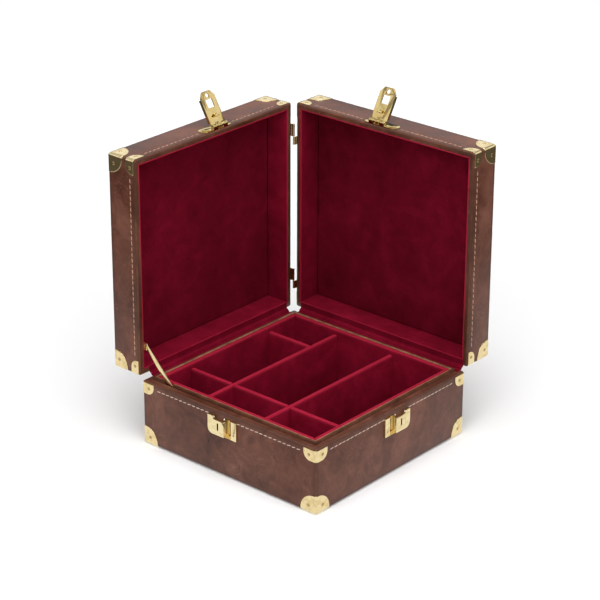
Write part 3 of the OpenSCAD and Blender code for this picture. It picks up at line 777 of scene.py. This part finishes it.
stitched_ring("tray_stitching", tray_lo, tray_hi, 2, tray_hi.z - SEAM, "tray", PALE_THREAD,
              [span_gap("front_left_lock", 1, -1, 0), span_gap("front_right_lock", 0, 1, 1)]
              + leaf_gaps("left_tray_leaves", 0, -1, 1)
              + leaf_gaps("right_tray_leaves", 1, 1, 0))
lo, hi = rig.box("left_lid_leather")
stitched_ring("left_lid_stitching", lo, hi, 0, hi.x - SEAM, "left_lid", TAN_THREAD,
              [span_gap("left_hasp_plate", 2, 1, 1), span_gap("left_corner_leaves", 1, 1, 2)]
              + leaf_gaps("left_lid_leaves", 2, -1, 1))
lo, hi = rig.box("right_lid_leather")
stitched_ring("right_lid_stitching", lo, hi, 1, lo.y + SEAM, "right_lid", TAN_THREAD,
              [span_gap("right_hasp_plate", 2, 1, 0), span_gap("right_corner_leaves", 0, -1, 2)]
              + leaf_gaps("right_lid_leaves", 2, -1, 0))


# ------------------------------------------------------------------ velvet

softened("locating_lip", LIP, 0.45 * MM, 2)
softened("tray_lining", LINING_VELVET, 1.1 * MM, 4)
for part in ("long_left", "long_right", "cross_left", "cross_middle", "cross_right",
             "cross_back"):
    softened("divider_" + part, DIVIDER_VELVET, 1.3 * MM, 4)
for side in ("left", "right"):
    softened(side + "_lid_lining", LID_VELVET[side], 0.6 * MM, 3)


SWELL = 0.8 * MM
HELD_DEPTH = 2.5 * MM
HELD_EDGE = 1 * MM
CLOTH_PRESSURE = 4
CLOTH_STEPS = 20
PAD_ROLL = 5 * MM
PAD_UNEVEN = 0.35


def puffed(o, axis, sign, face):
    """Swells the velvet like cloth over its padding; its edges and back are sewn down."""
    start = [v.co.copy() for v in o.data.vertices]
    reach = [max(p[i] for p in start) for i in range(3)]
    least = [min(p[i] for p in start) for i in range(3)]
    held = [i for i, p in enumerate(start)
            if abs(p[axis] - face) > HELD_DEPTH
            or any(min(reach[k] - p[k], p[k] - least[k]) < HELD_EDGE
                   for k in range(3) if k != axis)]
    o.vertex_groups.new(name="held").add(held, 1.0, "REPLACE")
    cloth = o.modifiers.new("cloth", "CLOTH")
    cloth.settings.vertex_group_mass = "held"
    cloth.settings.use_pressure = True
    cloth.settings.uniform_pressure_force = CLOTH_PRESSURE
    cloth.settings.effector_weights.gravity = 0
    cloth.collision_settings.use_collision = False
    for step in range(1, CLOTH_STEPS + 1):
        bpy.context.scene.frame_set(step)
    apply_modifiers(o)
    bpy.context.scene.frame_set(1)
    for v, p in zip(o.data.vertices, start):
        move = v.co - p
        v.co = p
        v.co[axis] += sign * SWELL * (1 - math.exp(-max(move[axis] * sign, 0.0) / SWELL))
    o.vertex_groups.clear()


def padded_panel(node, name, axis, sign, crown, step):
    """A velvet panel that swells on one side and dips a little at its edges."""
    lo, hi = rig.box(node)
    o = block(lo, hi)
    others = [i for i in range(3) if i != axis]
    cuts = int((hi - lo)[others[0]] / step)
    for f in o.data.polygons:
        f.select = abs(f.normal[axis]) > 0.9
    bpy.ops.object.mode_set(mode="EDIT")
    bpy.ops.mesh.select_mode(type="FACE")
    bpy.ops.mesh.subdivide(number_cuts=cuts)
    bpy.ops.object.mode_set(mode="OBJECT")
    face = hi[axis] if sign > 0 else lo[axis]
    centre, half = (lo + hi) / 2, (hi - lo) / 2
    for v in o.data.vertices:
        p = [(v.co[i] - centre[i]) / half[i] for i in others]
        if abs(v.co[axis] - face) < 1e-5:
            lip = min(half[i] * (1 - abs(q)) for i, q in zip(others, p))
            rise = 1 - math.exp(-max(lip, 0) / PAD_ROLL)
            slow = noise.noise(Vector(v.co) * 22) * 0.28 + noise.noise(Vector(v.co) * 70) * 0.1
            v.co[axis] = (face - sign * crown * (1 - rise)
                          - sign * PAD_UNEVEN * MM * (0.5 - slow))
    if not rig.quick():
        puffed(o, axis, sign, face)
    smooth(o, 60)
    finish_piece(o, name, BODY_OF[node], "velvet", VELVET, (node,))
    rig.padded(o, fill=0.5)


padded_panel("left_lid_pad", "left_lid_velvet_panel", 0, 1, 0.7 * MM, 4 * MM)
padded_panel("right_lid_pad", "right_lid_velvet_panel", 1, -1, 0.7 * MM, 4 * MM)
padded_panel("floor_pad", "tray_floor_velvet", 2, 1, 0.8 * MM, 6 * MM)


# ------------------------------------------------------------------ velvet over the hinges

HINGE_OFFSET = 3.0 * MM
GUSSET = 0.14 * MM
GUSSET_STEP = 0.9 * MM
GUSSET_COLUMNS = 60
ARC_STEPS = 8


def hinge_gusset(name, lid, place, low, high):
    """A velvet strip from the tray's shoulder over the hinges to the lid's rim."""
    offset = HINGE_OFFSET
    profile = [(offset + 6.6 * MM - GUSSET_STEP * i, 0.16 * MM) for i in range(8)]
    for i in range(ARC_STEPS + 1):
        turn = math.radians(3 + 84 * i / ARC_STEPS)
        reach = offset - 0.26 * MM * math.sin(2 * turn)
        profile.append((reach * math.cos(turn), reach * math.sin(turn)))
    profile += [(-0.16 * MM, offset + GUSSET_STEP * (i + 1)) for i in range(7)]
    verts, faces = [], []
    for j in range(GUSSET_COLUMNS + 1):
        along = low + (high - low) * j / GUSSET_COLUMNS
        for a, b in profile:
            soft = noise.noise(Vector((along * 90, a * 300, b * 300))) * 0.03 * MM
            verts.append(place(a + soft, along, b + soft))
    n = len(profile)
    for j in range(GUSSET_COLUMNS):
        for i in range(n - 1):
            k = j * n + i
            faces.append((k, k + 1, k + n + 1, k + n))
    width = sum(math.dist(p, q) for p, q in zip(profile, profile[1:]))
    o = from_faces(name, verts, faces)
    bpy.ops.object.mode_set(mode="EDIT")
    bpy.ops.mesh.select_all(action="SELECT")
    bpy.ops.mesh.normals_make_consistent(inside=False)
    bpy.ops.object.mode_set(mode="OBJECT")
    thicken(o, GUSSET, 0)
    apply_modifiers(o)
    smooth(o, 70)
    o.data.materials.append(GUSSET_VELVET)
    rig.slot(o, "velvet")
    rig.blend(o, "tray", lid, place(offset, 0, 0), place(0, 0, offset))
    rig.sheet(o, flat=(width, high - low), held="stretched")


AXIS_X = frame_joint("left_lid_hinge")["pos_m"]
AXIS_Y = frame_joint("right_lid_hinge")["pos_m"]
hinge_gusset("left_hinge_velvet", "left_lid",
             lambda a, along, b: Vector((AXIS_X[0] + a, along, AXIS_X[2] + b)),
             tray_lo.y + 12.5 * MM, tray_hi.y - 7.2 * MM)
hinge_gusset("right_hinge_velvet", "right_lid",
             lambda a, along, b: Vector((along, AXIS_Y[1] - a, AXIS_Y[2] + b)),
             tray_lo.x + 7.2 * MM, tray_hi.x - 4 * MM)


# ------------------------------------------------------------------ brass corners

NOSE = 3.1 * MM
PLATE = 0.8 * MM
PLATE_ROUND = 0.22 * MM


def nosed(p, axes):
    """Moves a point of a square corner on to the same corner with its edges rounded."""
    q = Vector(p)
    for i in axes:
        q[i] = max(p[i], NOSE)
    d = Vector(p) - q
    return q + d.normalized() * NOSE if d.length > 1e-9 else Vector(p)


def lobe_reach(angle, w, r):
    """How far a plate w wide reaches at an angle, with its outer corner rounded to r."""
    c = w - r
    ca, sa = math.cos(angle), math.sin(angle)
    if ca > 0 and w * sa / ca <= c:
        return w / ca
    if sa > 0 and w * ca / sa <= c:
        return w / sa
    k = c * (ca + sa)
    return k + math.sqrt(max(k * k - 2 * c * c + r * r, 0))


CAP_RINGS, CAP_STEPS = 12, 14
RIM_COLUMNS, RIM_ROWS = 10, 12


def cap_sheet(w, r):
    """A cap of three lobes over a box's corner."""
    verts, faces = [], []
    for plane in range(3):
        base = len(verts)
        for j in range(CAP_STEPS + 1):
            angle = math.pi / 2 * j / CAP_STEPS
            reach = lobe_reach(angle, w, r)
            for i in range(CAP_RINGS + 1):
                a = math.cos(angle) * reach * i / CAP_RINGS
                b = math.sin(angle) * reach * i / CAP_RINGS
                p = [(a, b, 0), (0, a, b), (b, 0, a)][plane]
                verts.append(nosed(p, (0, 1, 2)))
        for j in range(CAP_STEPS):
            for i in range(CAP_RINGS):
                k = base + j * (CAP_RINGS + 1) + i
                faces.append((k, k + CAP_RINGS + 1, k + CAP_RINGS + 2, k + 1))
    return verts, faces


def angle_sheet(w, h, r):
    """A plate folded round the Z edge: w along each face and h along the edge."""
    verts, faces = [], []
    for j in range(RIM_ROWS + 1):
        v = h * math.sin(math.pi / 2 * j / RIM_ROWS)
        reach = w if v <= h - r else w - r + math.sqrt(max(r * r - (v - h + r) ** 2, 0))
        for i in range(-RIM_COLUMNS, RIM_COLUMNS + 1):
            a = reach * abs(i) / RIM_COLUMNS
            p = (0, a, v) if i < 0 else (a, 0, v)
            verts.append(nosed(p, (0, 1)))
    n = 2 * RIM_COLUMNS + 1
    for j in range(RIM_ROWS):
        for i in range(n - 1):
            k = j * n + i
            faces.append((k, k + 1, k + n + 1, k + n))
    return verts, faces


def plate_from_sheet(name, sheet, places):
    """Thickens one sheet and sets a copy at each place, given as an origin and three axes."""
    made = []
    for n, (origin, axes) in enumerate(places):
        turn = Matrix((axes[0], axes[1], axes[2])).transposed()
        verts = [origin + turn @ v for v in sheet[0]]
        faces = sheet[1] if turn.determinant() > 0 else [tuple(reversed(f)) for f in sheet[1]]
        o = from_faces(f"{name}_{n}", verts, faces)
        thicken(o, PLATE, -1, even=True)
        round_edges(o, PLATE_ROUND, 2, 50)
        apply_modifiers(o)
        made.append(o)
    o = join(made)
    smooth(o, 50)
    return o


def corner_places(lo, hi, axis, sign):
    """The four corners at one end of a box, each with its axes running into the box."""
    u, v = [i for i in range(3) if i != axis]
    places = []
    for su in (1, -1):
        for sv in (1, -1):
            origin = Vector()
            origin[u] = lo[u] if su > 0 else hi[u]
            origin[v] = lo[v] if sv > 0 else hi[v]
            origin[axis] = lo[axis] if sign > 0 else hi[axis]
            eu, ev, ea = Vector(), Vector(), Vector()
            eu[u], ev[v], ea[axis] = su, sv, sign
            places.append((origin, (eu, ev, ea)))
    return places


CAP_W, CAP_R = 19 * MM, 16 * MM
RIM_W, RIM_R = 15.5 * MM, 8 * MM


def brass_corners(node, body, axis, sign, kind):
    """The four brasses at one end of a box, which stand for one CAD node."""
    lo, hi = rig.box(node)
    if kind == "cap":
        sheet = cap_sheet(CAP_W, CAP_R)
    else:
        sheet = angle_sheet(RIM_W, hi[axis] - lo[axis], RIM_R)
    o = plate_from_sheet(node, sheet, corner_places(lo, hi, axis, sign))
    finish_piece(o, node + "_plates", body, "brass", BRASS, (node,))


brass_corners("tray_foot_corners", "tray", 2, 1, "cap")
brass_corners("tray_rim_corners", "tray", 2, -1, "angle")
brass_corners("left_lid_caps", "left_lid", 0, 1, "cap")
brass_corners("left_lid_rim_corners", "left_lid", 0, -1, "angle")
brass_corners("right_lid_caps", "right_lid", 1, -1, "cap")
brass_corners("right_lid_rim_corners", "right_lid", 1, 1, "angle")


# ------------------------------------------------------------------ locks, hasps, hinges, stay

softened("front_left_lock", LEFT_LOCK_BRASS, 0.3 * MM, 2)
softened("front_right_lock", RIGHT_LOCK_BRASS, 0.3 * MM, 2)
for node in ("left_hasp", "right_hasp", "left_hasp_plate", "right_hasp_plate"):
    softened(node, HASP_BRASS, 0.22 * MM, 2)
for node in ("left_tray_leaves", "right_tray_leaves", "left_lid_leaves", "right_lid_leaves"):
    softened(node, BRASS, 0.18 * MM, 2)
for node in ("left_corner_leaves", "right_corner_leaves"):
    softened(node, BRASS, 0.1 * MM, 1)
for node in ("tray_rivets", "left_lid_rivets", "right_lid_rivets"):
    softened(node, RIVET_BRASS, 0.12 * MM, 2, 20)
softened("stay_arm", BRASS, 0.25 * MM, 2)
softened("stay_bracket", BRASS, 0.15 * MM, 2)
softened("stay_pin", BRASS, 0.12 * MM, 2)
softened("lock_nails", STEEL, 0.1 * MM, 2, 20)
for node in ("left_hinge_pins", "right_hinge_pins", "left_hasp_pin", "right_hasp_pin"):
    softened(node, BRASS, 0.3 * MM, 2)
for node in ("corner_pin_lower", "corner_pin_upper"):
    softened(node, BRASS, 0.12 * MM, 2)
for node in ("front_left_bolt", "front_right_bolt"):
    softened(node, STEEL, 0.15 * MM, 2)
for node in ("tray_walls", "tray_bottom_board", "left_lid_walls", "left_lid_board",
             "right_lid_walls", "right_lid_board"):
    dress(node, BOARD)
dress("underside_panel", FELT)


# ------------------------------------------------------------------ stage, light and camera

def area_light(name, place, aim, size, power, glossy):
    """A rectangular soft box, which gloss may be kept from seeing."""
    data = bpy.data.lights.new(name, "AREA")
    data.shape = "RECTANGLE"
    data.size, data.size_y = size
    data.energy = power
    o = bpy.data.objects.new(name, data)
    bpy.context.scene.collection.objects.link(o)
    o.location = place
    o.rotation_euler = (Vector(aim) - Vector(place)).to_track_quat("-Z", "Y").to_euler()
    o.visible_glossy = glossy


def soft_room():
    """An even white room; only gloss sees the darker walls between its soft boxes."""
    world = bpy.data.worlds.new("soft_white_room")
    world.use_nodes = True
    t = world.node_tree
    even = t.nodes["Background"]
    even.inputs[0].default_value = (1, 1, 1, 1)
    even.inputs[1].default_value = 0.50
    seen = t.nodes.new("ShaderNodeBackground")
    coord = t.nodes.new("ShaderNodeTexCoord").outputs["Generated"]
    split = t.nodes.new("ShaderNodeSeparateXYZ")
    t.links.new(coord, split.inputs[0])
    t.links.new(ramp(t, split.outputs[2], [(0.0, (0.06, 0.055, 0.05)), (0.14, (0.2, 0.19, 0.18)),
                                           (0.26, (1.0, 1.0, 1.0)), (0.52, (1.0, 1.0, 1.0)),
                                           (0.64, (0.25, 0.24, 0.23)), (0.8, (1.0, 1.0, 1.0))]),
                seen.inputs[0])
    mixed = t.nodes.new("ShaderNodeMixShader")
    rays = t.nodes.new("ShaderNodeLightPath")
    t.links.new(rays.outputs["Is Glossy Ray"], mixed.inputs[0])
    t.links.new(even.outputs[0], mixed.inputs[1])
    t.links.new(seen.outputs[0], mixed.inputs[2])
    plain = t.nodes.new("ShaderNodeBackground")
    plain.inputs[0].default_value = (1, 1, 1, 1)
    backed = t.nodes.new("ShaderNodeMixShader")
    t.links.new(rays.outputs["Is Camera Ray"], backed.inputs[0])
    t.links.new(mixed.outputs[0], backed.inputs[1])
    t.links.new(plain.outputs[0], backed.inputs[2])
    t.links.new(backed.outputs[0], t.nodes["World Output"].inputs[0])
    bpy.context.scene.world = world


LIGHTS = (
    ("key", (0.75, -0.95, 1.5), (0, 0, 0.1), (1.2, 1.2), 13, True),
    ("left_fill", (-1.5, -0.9, 1.0), (0, 0, 0.12), (1.0, 1.4), 3, False),
    ("right_fill", (1.6, 0.3, 1.0), (0, 0, 0.12), (1.0, 1.4), 3, False),
    ("top", (0.15, -0.15, 1.7), (0, 0, 0.05), (0.9, 0.9), 13, True),
)
FLOOR_SIZE = 9
FLOOR_DROP = 0.2 * MM


def studio():
    """A pale floor, the room and its lights."""
    bpy.ops.object.select_all(action="DESELECT")
    bpy.ops.mesh.primitive_plane_add(size=FLOOR_SIZE, location=(0, 0, -FLOOR_DROP))
    floor = bpy.context.object
    floor.name = "studio_floor"
    m, t, shader, coord = new_material("white_paper")
    paper = noise_node(t, coord, 3, 2)
    t.links.new(ramp(t, paper, [(0.3, (0.86, 0.86, 0.86)), (0.7, (0.87, 0.87, 0.87))]),
                shader.inputs["Base Color"])
    set_values(shader, {"Roughness": 0.8, "Specular IOR Level": 0.1,
                        "Emission Color": (1, 1, 1, 1)})
    far = t.nodes.new("ShaderNodeVectorMath")
    far.operation = "LENGTH"
    t.links.new(coord, far.inputs[0])
    t.links.new(fade(t, far.outputs["Value"], 0.25, 1.3, 0.10, 0.40),
                shader.inputs["Emission Strength"])
    # gloss sees where the white table ends, and a dark studio beyond it
    beyond = t.nodes.new("ShaderNodeEmission")
    t.links.new(mix(t, fade(t, far.outputs["Value"], 0.40, 0.72), (0.92, 0.90, 0.87),
                    (0.09, 0.08, 0.07)), beyond.inputs[0])
    rays = t.nodes.new("ShaderNodeLightPath")
    both = t.nodes.new("ShaderNodeMixShader")
    t.links.new(rays.outputs["Is Glossy Ray"], both.inputs[0])
    t.links.new(shader.outputs[0], both.inputs[1])
    t.links.new(beyond.outputs[0], both.inputs[2])
    t.links.new(both.outputs[0], t.nodes["Material Output"].inputs[0])
    floor.data.materials.append(m)
    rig.stage(floor)
    soft_room()
    for light in LIGHTS:
        area_light(*light)
    bpy.context.scene.view_settings.view_transform = "Standard"


studio()

AZIMUTH, ELEVATION, DISTANCE = math.radians(41.46), math.radians(23.36), 2.1365
AIM = Vector((-0.0187, -0.0071, 0.1663))
LENS = 135.03
SHIFT = (0.0252, -0.0369)
camera = bpy.data.cameras.new("camera")
camera.sensor_width = 36
camera.lens = LENS
camera.shift_x, camera.shift_y = SHIFT
camera.clip_start, camera.clip_end = 0.05, 50
eye = bpy.data.objects.new("camera", camera)
bpy.context.scene.collection.objects.link(eye)
back = Vector((math.sin(AZIMUTH) * math.cos(ELEVATION), -math.cos(AZIMUTH) * math.cos(ELEVATION),
               math.sin(ELEVATION)))
eye.location = AIM + back * DISTANCE
eye.rotation_euler = (-back).to_track_quat("-Z", "Y").to_euler()
bpy.context.scene.camera = eye

now_lo, now_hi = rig.bounds()
with open("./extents.json", "w") as f:
    json.dump({"cad": [list(CAD_LO), list(CAD_HI)], "visual": [list(now_lo), list(now_hi)]}, f)
